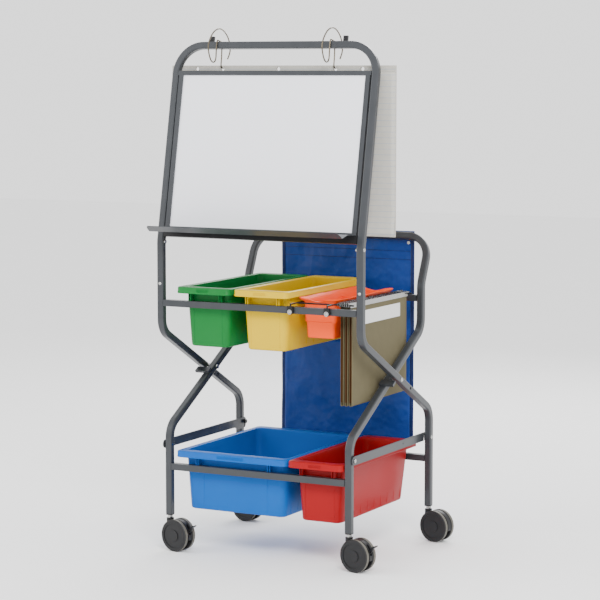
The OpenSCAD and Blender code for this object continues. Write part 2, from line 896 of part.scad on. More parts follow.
// Foot lever that turns on a pin at the trailing edge of the hood
module brake(i) {
    placed() color([0.1, 0.1, 0.11]) at_axle(i) translate([brake_u, 0, brake_v]) {
        rotate([90, 0, 0]) linear_extrude(8, center = true)
            polygon(concat(arc(0, 0, 6, 150, 290, 8),
                [[12, 3], [18, 14], [27, 20], [28, 24], [16, 20], [6, 10]]));
        rotate([90, 0, 0]) linear_extrude(13, center = true)
            polygon([[15, 14.5], [18, 14], [27, 20], [28, 24], [16, 20]]);
        translate([0, -7.4, 0]) along_y(3, 14.8);
    }
}

module axle(i) {
    placed() color(zinc) at_axle(i) translate([0, -24, 0]) along_y(axle_r, 48);
}

// The two wheel discs of one caster
module wheels(i) {
    inner = wheel_y - wheel_t / 2;
    placed() color([0.2, 0.2, 0.21]) at_axle(i) for (side = [0, 1]) mirror([0, side, 0])
        difference() {
            union() {
                translate([0, inner, 0]) along_y(wheel_r - 6, wheel_t);
                translate([0, inner - 1.6, 0]) along_y(9, 3);
            }
            translate([0, inner + wheel_t - 2, 0]) difference() {
                along_y(wheel_r - 12, 3);
                translate([0, -1, 0]) along_y(18, 5);
            }
            translate([0, inner - 2, 0]) along_y(axle_r + 0.05, 24.3 - inner + 2);
        }
}

// The two tyres of one caster
module treads(i) {
    placed() color([0.24, 0.23, 0.22]) at_axle(i) for (side = [0, 1]) mirror([0, side, 0])
        translate([0, wheel_y, 0]) rotate([90, 0, 0]) rotate_extrude()
            translate([wheel_r - 6, 0]) polygon([[0, -7.5], [4, -7.5], [6, -5], [6, 5], [4, 7.5], [0, 7.5]]);
}

module hood_fl() {
    hood(0, true);
}

module hood_fr() {
    hood(1, true);
}

module hood_rl() {
    hood(2, false);
}

module hood_rr() {
    hood(3, false);
}

module axle_fl() {
    axle(0);
}

module axle_fr() {
    axle(1);
}

module axle_rl() {
    axle(2);
}

module axle_rr() {
    axle(3);
}

module wheels_fl() {
    wheels(0);
}

module wheels_fr() {
    wheels(1);
}

module wheels_rl() {
    wheels(2);
}

module wheels_rr() {
    wheels(3);
}

module treads_fl() {
    treads(0);
}

module treads_fr() {
    treads(1);
}

module treads_rl() {
    treads(2);
}

module treads_rr() {
    treads(3);
}

module brake_fl() {
    brake(0);
}

module brake_fr() {
    brake(1);
}

// ---------------------------------------------------------------- parts

easel_tube();
leg_tube_left();
leg_tube_right();
front_shelf_rail();
rear_low_rail();
rear_frame_tube();
front_low_rail();
rear_shelf_rail();
cross_bolts();
stop_plates();
frame_bolts();
board_panel();
board_channel_top();
board_channels_side();
board_rail_bottom();
tray();
chart_hook_left();
chart_hook_right();
hook_stops();
pad_sheets();
pad_backing();
rear_chart();
chart_snaps();
file_rack();
rack_clamps();
clamp_screws();
folder_inner();
folder_middle();
folder_outer();
rods_inner();
rods_middle();
rods_outer();
caddy();
tub_green();
tub_yellow();
tub_blue();
tub_red();
tie_bar_left();
tie_bar_right();
latch_caps();
leg_sockets();
caster_stems();
hood_fl();
hood_fr();
hood_rl();
hood_rr();
axle_fl();
axle_fr();
axle_rl();
axle_rr();
wheels_fl();
wheels_fr();
wheels_rl();
wheels_rr();
treads_fl();
treads_fr();
treads_rl();
treads_rr();
brake_fl();
brake_fr();
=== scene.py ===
import json
import math

import bpy
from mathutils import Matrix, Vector, noise


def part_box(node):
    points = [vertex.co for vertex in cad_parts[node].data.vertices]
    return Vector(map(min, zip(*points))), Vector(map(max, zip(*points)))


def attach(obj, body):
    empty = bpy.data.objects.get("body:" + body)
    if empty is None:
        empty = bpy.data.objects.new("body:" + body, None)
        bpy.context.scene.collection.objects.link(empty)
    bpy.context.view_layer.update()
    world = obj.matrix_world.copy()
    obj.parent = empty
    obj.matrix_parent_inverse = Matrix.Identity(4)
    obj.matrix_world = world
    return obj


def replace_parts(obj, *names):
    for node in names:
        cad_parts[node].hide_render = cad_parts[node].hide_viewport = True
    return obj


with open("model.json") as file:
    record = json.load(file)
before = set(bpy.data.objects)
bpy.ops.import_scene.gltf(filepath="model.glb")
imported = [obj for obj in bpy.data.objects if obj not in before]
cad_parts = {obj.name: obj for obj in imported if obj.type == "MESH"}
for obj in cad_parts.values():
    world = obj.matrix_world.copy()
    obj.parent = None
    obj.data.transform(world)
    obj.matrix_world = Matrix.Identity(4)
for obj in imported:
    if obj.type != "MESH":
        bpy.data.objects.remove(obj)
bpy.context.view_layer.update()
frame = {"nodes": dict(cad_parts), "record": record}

MM = 0.001

# How far the easel's own middle lies behind the origin
FRAME_Y = 11.9 * MM
# The direction of every caster's axle
AXLE = (math.sin(math.radians(10)), math.cos(math.radians(10)), 0)

# ---------------------------------------------------------------- camera, floor and light


def add_camera():
    data = bpy.data.cameras.new("camera")
    data.lens = 131.1
    data.sensor_width = 36
    data.clip_end = 60
    camera = bpy.data.objects.new("camera", data)
    camera.location = (3.1663, -6.0088, 1.4943)
    camera.rotation_euler = (math.radians(90 - 6.01), 0, math.radians(27.81))
    bpy.context.collection.objects.link(camera)
    bpy.context.scene.camera = camera


def add_area(name, location, target, size, power):
    data = bpy.data.lights.new(name, "AREA")
    data.size = size
    data.energy = power
    light = bpy.data.objects.new(name, data)
    light.location = location
    aim = Vector(target) - Vector(location)
    light.rotation_euler = aim.to_track_quat("-Z", "Y").to_euler()
    bpy.context.collection.objects.link(light)


def add_studio():
    world = bpy.data.worlds.new("studio")
    world.use_nodes = True
    background = world.node_tree.nodes["Background"]
    background.inputs["Color"].default_value = (1, 1, 1, 1)
    background.inputs["Strength"].default_value = 1.75
    bpy.context.scene.world = world
    middle = (0, 0, 0.8)
    add_area("key", (2.4, -3.2, 3.4), middle, 1.6, 190)
    add_area("fill", (-3.4, -2.2, 2.2), middle, 2.5, 50)
    add_area("back", (-0.6, 3.4, 2.8), middle, 2.0, 90)
    bpy.ops.mesh.primitive_plane_add(size=30, location=(0, 0, -0.0005))
    floor = bpy.context.object
    floor.name = "floor"
    floor.data.materials.append(
        surface("floor", (0.93, 0.93, 0.93), (0.95, 0.95, 0.95), 3, 0.8, grain=400, depth=0.02))


# ---------------------------------------------------------------- materials

# The share of each space between rules that the rule itself takes
RULE_SHARE = 0.07
# How squarely a face looks along the axle before it counts as a tyre's side
SIDE_FACING = 0.35


def new_material(name):
    material = bpy.data.materials.new(name)
    material.use_nodes = True
    nodes = material.node_tree.nodes
    return material, nodes, material.node_tree.links, nodes["Principled BSDF"]


def math_node(nodes, links, operation, a, b=None):
    node = nodes.new("ShaderNodeMath")
    node.operation = operation
    for i, value in enumerate((a, b)):
        if value is None:
            continue
        if isinstance(value, (int, float)):
            node.inputs[i].default_value = value
        else:
            links.new(value, node.inputs[i])
    return node.outputs[0]


def mix_colors(nodes, links, factor, a, b):
    node = nodes.new("ShaderNodeMix")
    node.data_type = "RGBA"
    links.new(factor, node.inputs["Factor"])
    for socket, value in (("A", a), ("B", b)):
        target = [s for s in node.inputs if s.name == socket and s.type == "RGBA"][0]
        if isinstance(value, tuple):
            target.default_value = (*value, 1)
        else:
            links.new(value, target)
    return [s for s in node.outputs if s.type == "RGBA"][0]


def object_noise(nodes, links, scale, detail=3):
    coordinates = nodes.new("ShaderNodeTexCoord")
    texture = nodes.new("ShaderNodeTexNoise")
    texture.inputs["Scale"].default_value = scale
    texture.inputs["Detail"].default_value = detail
    links.new(coordinates.outputs["Object"], texture.inputs["Vector"])
    return texture.outputs["Fac"]


def add_bump(nodes, links, shader, height, depth, strength=1.0, over=None):
    """Relief depth millimetres deep, laid over another relief if one is given."""
    bump = nodes.new("ShaderNodeBump")
    bump.inputs["Strength"].default_value = strength
    bump.inputs["Distance"].default_value = depth * MM
    links.new(height, bump.inputs["Height"])
    if over:
        links.new(over, bump.inputs["Normal"])
    links.new(bump.outputs["Normal"], shader.inputs["Normal"])
    return bump.outputs["Normal"]


def vary_roughness(nodes, links, shader, factor, low, high):
    spread = nodes.new("ShaderNodeMapRange")
    spread.inputs["To Min"].default_value = low
    spread.inputs["To Max"].default_value = high
    links.new(factor, spread.inputs["Value"])
    links.new(spread.outputs["Result"], shader.inputs["Roughness"])


def surface(name, color_a, color_b, patch, rough, metallic=0.0, grain=900, depth=0.05,
            coat=0.0, gloss=0.25):
    """A surface whose colour wanders between two colours under a fine grain of so many bumps a metre."""
    material, nodes, links, shader = new_material(name)
    patches = object_noise(nodes, links, patch)
    links.new(mix_colors(nodes, links, patches, color_a, color_b), shader.inputs["Base Color"])
    vary_roughness(nodes, links, shader, patches, rough - 0.06, rough + 0.08)
    add_bump(nodes, links, shader, object_noise(nodes, links, grain, 2), depth)
    shader.inputs["Metallic"].default_value = metallic
    shader.inputs["Specular IOR Level"].default_value = gloss
    shader.inputs["Coat Weight"].default_value = coat
    shader.inputs["Coat Roughness"].default_value = 0.15
    return material


def ruled_paper(name, base, shade, line, spacing):
    """Paper with blue rules across it, spacing metres apart."""
    material, nodes, links, shader = new_material(name)
    fibres = object_noise(nodes, links, 60, 5)
    paper = mix_colors(nodes, links, fibres, base, shade)
    coordinates = nodes.new("ShaderNodeTexCoord")
    split = nodes.new("ShaderNodeSeparateXYZ")
    links.new(coordinates.outputs["Object"], split.inputs["Vector"])
    height = math_node(nodes, links, "DIVIDE", split.outputs["Z"], spacing)
    phase = math_node(nodes, links, "FRACT", height)
    on_line = math_node(nodes, links, "LESS_THAN", phase, RULE_SHARE)
    links.new(mix_colors(nodes, links, on_line, paper, line), shader.inputs["Base Color"])
    shader.inputs["Roughness"].default_value = 0.85
    shader.inputs["Specular IOR Level"].default_value = 0.2
    cockle = add_bump(nodes, links, shader, object_noise(nodes, links, 22, 2), 2.5, 0.5)
    add_bump(nodes, links, shader, object_noise(nodes, links, 900, 3), 0.03, over=cockle)
    return material


def woven(name, color_a, color_b, thread):
    """Coated woven cloth with threads of the given width in metres."""
    material, nodes, links, shader = new_material(name)
    patches = object_noise(nodes, links, 14, 4)
    links.new(mix_colors(nodes, links, patches, color_a, color_b), shader.inputs["Base Color"])
    coordinates = nodes.new("ShaderNodeTexCoord")
    waves = []
    for direction in ("X", "Z"):
        wave = nodes.new("ShaderNodeTexWave")
        wave.bands_direction = direction
        wave.inputs["Scale"].default_value = 2 * math.pi / 20 / thread
        links.new(coordinates.outputs["Object"], wave.inputs["Vector"])
        waves.append(wave.outputs["Fac"])
    weave = math_node(nodes, links, "MULTIPLY", waves[0], waves[1])
    creases = add_bump(nodes, links, shader, object_noise(nodes, links, 8, 3), 24, 0.9)
    add_bump(nodes, links, shader, weave, 0.15, 0.6, over=creases)
    vary_roughness(nodes, links, shader, patches, 0.34, 0.46)
    shader.inputs["Specular IOR Level"].default_value = 0.2
    shader.inputs["Sheen Weight"].default_value = 0.06
    shader.inputs["Sheen Roughness"].default_value = 0.4
    return material


def moulded(name, color_a, color_b, rough=0.36):
    """Moulded plastic with an orange-peel skin."""
    material = surface(name, color_a, color_b, 9, rough, grain=420, depth=0.05, gloss=0.12)
    shader = material.node_tree.nodes["Principled BSDF"]
    shader.inputs["Subsurface Weight"].default_value = 0.08
    shader.inputs["Subsurface Radius"].default_value = (0.004, 0.003, 0.002)
    shader.inputs["Subsurface Scale"].default_value = 1.0
    return material


def tyre(name, band, sides):
    """A tyre whose rolling band is paler than its sides."""
    material = surface(name, band, band, 70, 0.5, grain=1200, depth=0.07)
    nodes, links = material.node_tree.nodes, material.node_tree.links
    shader = nodes["Principled BSDF"]
    coordinates = nodes.new("ShaderNodeTexCoord")
    along_axle = nodes.new("ShaderNodeVectorMath")
    along_axle.operation = "DOT_PRODUCT"
    along_axle.inputs[1].default_value = AXLE
    links.new(coordinates.outputs["Normal"], along_axle.inputs[0])
    facing = math_node(nodes, links, "ABSOLUTE", along_axle.outputs["Value"])
    on_side = math_node(nodes, links, "GREATER_THAN", facing, SIDE_FACING)
    grime = object_noise(nodes, links, 70)
    worn = mix_colors(nodes, links, grime, band, tuple(c * 1.3 for c in band))
    links.new(mix_colors(nodes, links, on_side, worn, sides), shader.inputs["Base Color"])
    return material


MATERIALS = {
    "frame_steel": surface("frame_steel", (0.023, 0.026, 0.03), (0.034, 0.037, 0.042), 25, 0.3,
                           grain=1400, depth=0.04, coat=0.08, gloss=0.35),
    "zinc": surface("zinc", (0.36, 0.36, 0.35), (0.46, 0.46, 0.45), 120, 0.26, metallic=1.0,
                    grain=2500, depth=0.01),
    "board": surface("board", (0.8, 0.81, 0.86), (0.83, 0.84, 0.89), 4, 0.2, grain=60, depth=0.02,
                     coat=0.1, gloss=0.4),
    "black_steel": surface("black_steel", (0.006, 0.006, 0.007), (0.011, 0.011, 0.012), 40, 0.38,
                           grain=1500, depth=0.03),
    "hook_wire": surface("hook_wire", (0.1, 0.083, 0.058), (0.17, 0.145, 0.105), 200, 0.26, metallic=1.0,
                         grain=3000, depth=0.01),
    "black_plastic": surface("black_plastic", (0.008, 0.008, 0.009), (0.013, 0.013, 0.015), 60, 0.42,
                             grain=1200, depth=0.06),
    "paper": ruled_paper("paper", (0.4, 0.385, 0.345), (0.47, 0.455, 0.41), (0.25, 0.3, 0.37), 17 * MM),
    "board_back": surface("board_back", (0.22, 0.165, 0.1), (0.28, 0.21, 0.135), 35, 0.9, grain=1500,
                          depth=0.08),
    "blue_fabric": woven("blue_fabric", (0.003, 0.027, 0.165), (0.006, 0.046, 0.25), 0.7 * MM),
    "rubber": surface("rubber", (0.006, 0.006, 0.006), (0.011, 0.011, 0.011), 80, 0.6, grain=900,
                      depth=0.08),
    "folder_paper": surface("folder_paper", (0.088, 0.074, 0.038), (0.115, 0.099, 0.054), 30, 0.8,
                            grain=1300, depth=0.08),
    "orange_plastic": moulded("orange_plastic", (0.9, 0.07, 0.005), (0.94, 0.085, 0.008)),
    "green_plastic": moulded("green_plastic", (0.005, 0.135, 0.025), (0.008, 0.155, 0.032)),
    "yellow_plastic": moulded("yellow_plastic", (0.6, 0.395, 0.0), (0.64, 0.425, 0.001)),
    "blue_plastic": moulded("blue_plastic", (0.001, 0.083, 0.35), (0.003, 0.096, 0.39)),
    "red_plastic": moulded("red_plastic", (0.26, 0.005, 0.007), (0.3, 0.007, 0.009)),
    "wheel_plastic": surface("wheel_plastic", (0.009, 0.009, 0.01), (0.015, 0.015, 0.016), 50, 0.42,
                             grain=1100, depth=0.06),
    "tread": tyre("tread", (0.09, 0.084, 0.07), (0.016, 0.016, 0.017)),
}
FOLDER_LINING = surface("folder_lining", (0.075, 0.03, 0.008), (0.1, 0.042, 0.012), 30, 0.8, grain=1300,
                        depth=0.08)
LABEL = surface("label_card", (0.62, 0.62, 0.6), (0.66, 0.66, 0.64), 30, 0.6, grain=1500, depth=0.03)
BINDING = woven("binding", (0.003, 0.012, 0.07), (0.005, 0.018, 0.1), 0.9 * MM)
LOOSE_PAPER = ruled_paper("loose_paper", (0.42, 0.405, 0.365), (0.5, 0.485, 0.44), (0.27, 0.32, 0.4),
                          17 * MM)

# ---------------------------------------------------------------- CAD nodes

# Nodes whose sharp edges are broken by a small bevel, with its width in millimetres
BROKEN_EDGES = {
    "front_shelf_rail": 1.2, "rear_low_rail": 1.2, "front_low_rail": 1.2, "rear_shelf_rail": 1.2,
    "board_channel_top": 0.8, "board_channels_side": 0.8, "board_rail_bottom": 0.8, "tray": 0.4,
    "stop_plates": 0.8, "tie_bar_left": 0.5, "tie_bar_right": 0.5, "hook_stops": 1.0,
    "rack_clamps": 0.8, "latch_caps": 1.2, "leg_sockets": 0.5,
    "hood_fl": 1.0, "hood_fr": 1.0, "hood_rl": 1.0, "hood_rr": 1.0, "brake_fl": 0.8, "brake_fr": 0.8,
    "wheels_fl": 1.0, "wheels_fr": 1.0, "wheels_rl": 1.0, "wheels_rr": 1.0,
}


def dress_nodes():
    for entry in frame["record"]["subparts"]:
        piece = frame["nodes"][entry["node"]]
        piece.data.materials.clear()
        piece.data.materials.append(MATERIALS[entry["material_slot"]])
        if entry["node"] in BROKEN_EDGES:
            bevel = piece.modifiers.new("broken_edges", "BEVEL")
            bevel.width = BROKEN_EDGES[entry["node"]] * MM
            bevel.segments = 2
            bevel.limit_method = "ANGLE"
            bevel.angle_limit = math.radians(40)


# ---------------------------------------------------------------- mesh helpers


def add_piece(name, points, faces, body, slot, material=None, smooth=35):
    mesh = bpy.data.meshes.new(name)
    mesh.from_pydata([tuple(p) for p in points], [], faces)
    mesh.validate()
    mesh.polygons.foreach_set("use_smooth", [True] * len(mesh.polygons))
    mesh.set_sharp_from_angle(angle=math.radians(smooth))
    mesh.materials.append(material or MATERIALS[slot])
    piece = bpy.data.objects.new(name, mesh)
    bpy.context.collection.objects.link(piece)
    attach(piece, body)
    return piece


def ring(cx, cy, w, l, r, z, corner=7, side=6):
    """Points round a rectangle with rounded corners. z is a height or a function of x and y."""
    points = []
    for k, (sx, sy) in enumerate(((1, 1), (-1, 1), (-1, -1), (1, -1))):
        middle = Vector((cx + sx * (w / 2 - r), cy + sy * (l / 2 - r)))
        arc = [middle + r * Vector((math.cos(a), math.sin(a)))
               for a in (math.pi / 2 * (k + i / (corner - 1)) for i in range(corner))]
        following = ((-1, 1), (-1, -1), (1, -1), (1, 1))[k]
        start = Vector((cx + following[0] * (w / 2 - r), cy + following[1] * (l / 2 - r)))
        start += r * Vector((math.cos(math.pi / 2 * (k + 1)), math.sin(math.pi / 2 * (k + 1))))
        points += arc + [arc[-1].lerp(start, i / side) for i in range(1, side)]
    height = z if callable(z) else (lambda x, y: z)
    return [(p.x, p.y, height(p.x, p.y)) for p in points]


def loft(rings, cap_first=True, cap_last=True):
    n = len(rings[0])
    points = [p for one in rings for p in one]
    faces = [(i * n + k, i * n + (k + 1) % n, (i + 1) * n + (k + 1) % n, (i + 1) * n + k)
             for i in range(len(rings) - 1) for k in range(n)]
    if cap_first:
        faces.append(tuple(reversed(range(n))))
    if cap_last:
        faces.append(tuple(range((len(rings) - 1) * n, len(rings) * n)))
    return points, faces


def grid(rows, columns):
    """Faces of a sheet whose points run row by row, with rows and columns of faces."""
    n = columns + 1
    return [(j * n + i, j * n + i + 1, (j + 1) * n + i + 1, (j + 1) * n + i)
            for j in range(rows) for i in range(columns)]


def join(*meshes):
    points, faces = [], []
    for p, f in meshes:
        faces += [tuple(i + len(points) for i in face) for face in f]
        points += p
    return points, faces


def prism(bottom, top):
    """A closed solid between two outlines of the same number of points."""
    n = len(bottom)
    faces = [(k, (k + 1) % n, n + (k + 1) % n, n + k) for k in range(n)]
    return list(bottom) + list(top), faces + [tuple(reversed(range(n))), tuple(range(n, 2 * n))]


def block(lo, hi):
    (x0, y0, z0), (x1, y1, z1) = lo, hi
    outline = [(x0, y0), (x1, y0), (x1, y1), (x0, y1)]
    return prism([(x, y, z0) for x, y in outline], [(x, y, z1) for x, y in outline])


def soften(piece, width, segments=2, angle=40):
    bevel = piece.modifiers.new("soft_edges", "BEVEL")
    bevel.width = width
    bevel.segments = segments
    bevel.limit_method = "ANGLE"
    bevel.angle_limit = math.radians(angle)


# ---------------------------------------------------------------- tubs

LIP_H = 20 * MM
LIP_OUT = 15 * MM
TUB_END = 37 * MM
WALL = 2.4 * MM
SIDE_DRAFT = 12 * MM
FRONT_DRAFT = 3 * MM
REAR_DRAFT = 20 * MM


def tub_shell(lo, hi):
    """Shell from the outside of the bottom, up and over the rim, and down the inside."""
    cx, cy = (lo.x + hi.x) / 2, (lo.y + hi.y) / 2
    w, l = hi.x - lo.x, hi.y - lo.y
    bw, bl = w - 2 * LIP_OUT, l - 2 * TUB_END
    top, bottom = hi.z, lo.z
    under = top - LIP_H

    def body(inset, z, r=22 * MM):
        share = max(0, (under - z) / (under - bottom))
        width = bw - 2 * (SIDE_DRAFT * share + inset)
        length = bl - (FRONT_DRAFT + REAR_DRAFT) * share - 2 * inset
        middle = cy - (REAR_DRAFT - FRONT_DRAFT) / 2 * share
        return ring(cx, middle, width, length, r - min(inset, 8 * MM), z)

    def rim(inset, z):
        return ring(cx, cy, w - 2 * inset, l - 2 * inset, 20 * MM - min(inset, 12 * MM), z)

    rings = [
        body(9 * MM, bottom), body(4 * MM, bottom + 0.4 * MM), body(1.2 * MM, bottom + 2.5 * MM),
        body(0, bottom + 7 * MM), body(0, bottom + 60 * MM), body(0, under - 50 * MM),
        body(0, under), body(0, top - WALL - 1.2 * MM), body(-1.2 * MM, top - WALL),
        rim(WALL + 1 * MM, top - WALL), rim(WALL, top - WALL - 1.5 * MM), rim(WALL, under + 0.6 * MM),
        rim(WALL * 0.6, under), rim(0.7 * MM, under + 0.1 * MM), rim(0, under + 1 * MM),
        rim(0, under + 4.5 * MM), rim(1 * MM, under + 6 * MM), rim(1 * MM, top - 4 * MM),
        rim(1.8 * MM, top - 1.3 * MM), rim(4 * MM, top),
        body(-3.5 * MM, top), body(-0.5 * MM, top - 0.5 * MM), body(1.6 * MM, top - 2 * MM),
        body(WALL, top - 5 * MM), body(WALL, under), body(WALL, under - 50 * MM),
        body(WALL, bottom + 60 * MM), body(WALL, bottom + 11 * MM),
        body(WALL + 2.5 * MM, bottom + 5 * MM), body(WALL + 9 * MM, bottom + WALL)]
    return loft(rings)


def tub_ribs(lo, hi):
    """Ribs under the rim that stand on the rails, and shallow ridges down the ends and sides."""
    cx, cy = (lo.x + hi.x) / 2, (lo.y + hi.y) / 2
    w, l = hi.x - lo.x, hi.y - lo.y
    bw, bl = w - 2 * LIP_OUT, l - 2 * TUB_END
    under = hi.z - LIP_H
    ribs = []
    for end in (-1, 1):
        for side in (-1, 1):
            for step in (0, 7 * MM):
                x = cx + side * (bw * 0.36 - step)
                y = sorted((cy + end * (bl / 2 - 2 * MM), cy + end * (bl / 2 + 19 * MM)))
                ribs.append(block((x - 1.2 * MM, y[0], under - 23.7 * MM),
                                  (x + 1.2 * MM, y[1], hi.z - 1.2 * MM)))
            ribs.append(ridge_down(cx + side * bw * 0.31, cy, bl, under, lo.z, end))
    low = lo.z + 10 * MM
    for side in (-1, 1):
        for k in range(9):
            y = cy + (k - 4) * bl * 0.1
            ribs.append(side_flute(cx, y, bw, under, lo.z, side, low, low + 34 * MM))
    return join(*ribs)


def inset_at(draft, z, under, bottom):
    return draft * (under - z) / (under - bottom)


def ridge_down(x, cy, bl, under, bottom, end):
    """A shallow raised step down an end of the tub."""
    half, proud, sink = 1.1 * MM, 0.7 * MM, 1.5 * MM
    outlines = []
    for z in (bottom + 9 * MM, under - 1 * MM):
        face = bl / 2 - inset_at(REAR_DRAFT if end > 0 else FRONT_DRAFT, z, under, bottom)
        ys = (cy + end * (face - sink), cy + end * (face + proud))
        outlines.append([(x - half, ys[0], z), (x - half * 0.5, ys[1], z),
                         (x + half * 0.5, ys[1], z), (x + half, ys[0], z)])
    return prism(*outlines)


def side_flute(cx, y, bw, under, bottom, side, low, high):
    half, proud, sink = 3.2 * MM, 1.1 * MM, 1.5 * MM
    outlines = []
    for z, share in ((low, 1.0), (high, 0.1)):
        face = bw / 2 - inset_at(SIDE_DRAFT, z, under, bottom)
        xs = (cx + side * (face - sink), cx + side * (face + proud * share))
        outlines.append([(xs[0], y - half, z), (xs[1], y - half * 0.4, z),
                         (xs[1], y + half * 0.4, z), (xs[0], y + half, z)])
    return prism(*outlines)


def grip(lo, hi):
    """A patch of small upright ridges on the front of the rim."""
    cx = (lo.x + hi.x) / 2
    width = (hi.x - lo.x) * 0.24
    pitch = 3.6 * MM
    count = int(width / pitch)
    ridges = []
    for k in range(count):
        x = cx + (k - (count - 1) / 2) * pitch
        ridges.append(block((x - 0.8 * MM, lo.y - 0.2 * MM, hi.z - 14.5 * MM),
                            (x + 0.8 * MM, lo.y + 2 * MM, hi.z - 5 * MM)))
    return join(*ridges)


def add_tub(node, body, slot):
    lo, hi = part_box(node)
    lo, hi = Vector(lo), Vector(hi)
    shell = add_piece(node + "_shell", *tub_shell(lo, hi), body, slot)
    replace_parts(shell, node)
    soften(add_piece(node + "_ribs", *tub_ribs(lo, hi), body, slot), 0.4 * MM)
    soften(add_piece(node + "_grip", *grip(lo, hi), body, slot), 0.3 * MM)


# ---------------------------------------------------------------- caddy


def add_caddy():
    lo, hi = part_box("caddy")
    lo, hi = Vector(lo), Vector(hi)
    cx, cy = (lo.x + hi.x) / 2, (lo.y + hi.y) / 2
    rim_w, rim_l = hi.x - lo.x, hi.y - lo.y
    w, l = 112 * MM, rim_l - 24 * MM
    rim_z = lo.z + 111 * MM
    step_z = rim_z - 61 * MM

    def flare(rise):
        def height(x, y):
            ends = math.exp(-((abs(y - cy) - rim_l / 2) / (34 * MM)) ** 2)
            dip = math.exp(-((x - cx) / (30 * MM)) ** 2) * ends
            return rim_z + rise * (1 - 0.95 * dip) + 1.5 * MM * math.sin((y - cy) / (38 * MM)) ** 2
        return height

    def wall(inset, z, r=14 * MM):
        return ring(cx, cy, w - 2 * inset, l - 2 * inset, max(r - inset, 4 * MM), z)

    lw, ll = w - 14 * MM, l - 24 * MM
    low_cy = cy - 9 * MM

    def low_wall(inset, z):
        return ring(cx, low_cy, lw - 2 * inset, ll - 2 * inset, max(12 * MM - inset, 4 * MM), z)

    thick = 2 * MM
    rings = [
        low_wall(9 * MM, lo.z), low_wall(4 * MM, lo.z + 1 * MM), low_wall(2.6 * MM, lo.z + 5 * MM),
        low_wall(0, step_z - 3 * MM), low_wall(-1.2 * MM, step_z - 0.5 * MM),
        wall(3.4 * MM, step_z), wall(2.4 * MM, step_z + 2 * MM), wall(0, rim_z - 3 * MM),
        ring(cx, cy, w + 6 * MM, l + 4 * MM, 18 * MM, rim_z - 0.2 * MM),
        ring(cx, cy, rim_w - 3 * MM, rim_l - 2 * MM, 18 * MM, flare(6 * MM)),
        ring(cx, cy, rim_w, rim_l, 20 * MM, flare(9 * MM)),
        ring(cx, cy, rim_w - 1 * MM, rim_l - 1 * MM, 19 * MM, flare(11 * MM)),
        ring(cx, cy, rim_w - 6 * MM, rim_l - 6 * MM, 16 * MM, flare(10 * MM)),
        ring(cx, cy, w + 8 * MM, l + 2 * MM, 16 * MM, flare(4.5 * MM)),
        wall(-0.5 * MM, rim_z + 1.5 * MM), wall(thick, rim_z - 3 * MM),
        wall(thick + 2.4 * MM, step_z + 4 * MM), wall(thick + 4 * MM, step_z + thick),
        low_wall(0.8 * MM, step_z + thick - 0.6 * MM), low_wall(thick, step_z - 3 * MM),
        low_wall(thick + 2.6 * MM, lo.z + 8 * MM), low_wall(thick + 8 * MM, lo.z + thick + 1 * MM)]
    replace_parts(add_piece("caddy_shell", *loft(rings), "caddy_body", "orange_plastic"), "caddy")
    dividers = [block((cx - w / 2 + 4 * MM, y - 0.9 * MM, step_z + 1 * MM),
                      (cx + w / 2 - 4 * MM, y + 0.9 * MM, rim_z - 6 * MM))
                for y in (cy - l / 6, cy + l / 6)]
    soften(add_piece("caddy_dividers", *join(*dividers), "caddy_body", "orange_plastic"), 0.5 * MM)


# ---------------------------------------------------------------- chart pad

# Height of a leaf's crease above its lower edge, and the slope it takes below that
CREASE_HEIGHT = 70 * MM
CREASE_SLOPE = 0.09


def leaf(name, x0, x1, z0, z1, depth, seed, material):
    """One loose sheet of the pad, with its top at y = depth. It hangs in waves and creases."""
    columns, rows = 60, 44
    points = []
    crease_z = z0 + CREASE_HEIGHT
    for j in range(rows + 1):
        z = z1 + (z0 - z1) * j / rows
        for i in range(columns + 1):
            x = x0 + (x1 - x0) * i / columns
            fall = j / rows
            wave = noise.noise(Vector((x * 5 + seed, seed, z * 2.2))) * 3.2 * MM * fall
            droop = -1.5 * MM * math.sin(math.pi * fall) - max(0, crease_z - z) * CREASE_SLOPE
            crease = noise.noise(Vector((x * 1.5, seed, z * 34))) * 1.1 * MM * fall
            points.append((x, depth + wave + droop + crease, z))
    sheet = add_piece(name, points, grid(rows, columns), "pad", "paper", material)
    thickness = sheet.modifiers.new("thickness", "SOLIDIFY")
    thickness.thickness = 0.3 * MM


def add_pad_leaves():
    lo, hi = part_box("pad_sheets")
    top = hi[2] - 20 * MM
    leaf("pad_leaf_front", lo[0] + 0.5 * MM, hi[0] - 1.5 * MM, lo[2] + 1 * MM, top,
         lo[1] - 1.6 * MM, 3.1, LOOSE_PAPER)
    leaf("pad_leaf_second", lo[0] + 3 * MM, hi[0] + 1 * MM, lo[2] + 5 * MM, top - 1 * MM,
         lo[1] - 0.8 * MM, 7.7, LOOSE_PAPER)


# ---------------------------------------------------------------- fabric chart at the back


# Heights of the chart's stitched seams. The pocket's mouth is at the lowest.
SEAM_HEIGHTS = (914 * MM, 887 * MM, 640 * MM, 613 * MM)
# How far the cloth's middle lies in front of the rear of its space
CLOTH_INSET = 1.4 * MM


def chart_surface():
    lo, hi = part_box("rear_chart")
    return Vector(lo), Vector(hi)


def chart_y(x, z, lo, hi):
    """How far back the cloth lies at a height, with soft folds that grow away from the rail."""
    fall = max(0.0, min(1.0, (hi.z - z) / (hi.z - lo.z)))
    fold = noise.noise(Vector((x * 6, 2.0, z * 1.6))) * 6 * MM
    ripple = noise.noise(Vector((x * 11, 9.0, x * 6 + z * 11))) * 3 * MM
    swell = math.sin(math.pi * min(1, fall * 1.2) / 2)
    return hi.y - CLOTH_INSET + (fold + ripple) * swell - 2 * MM * fall


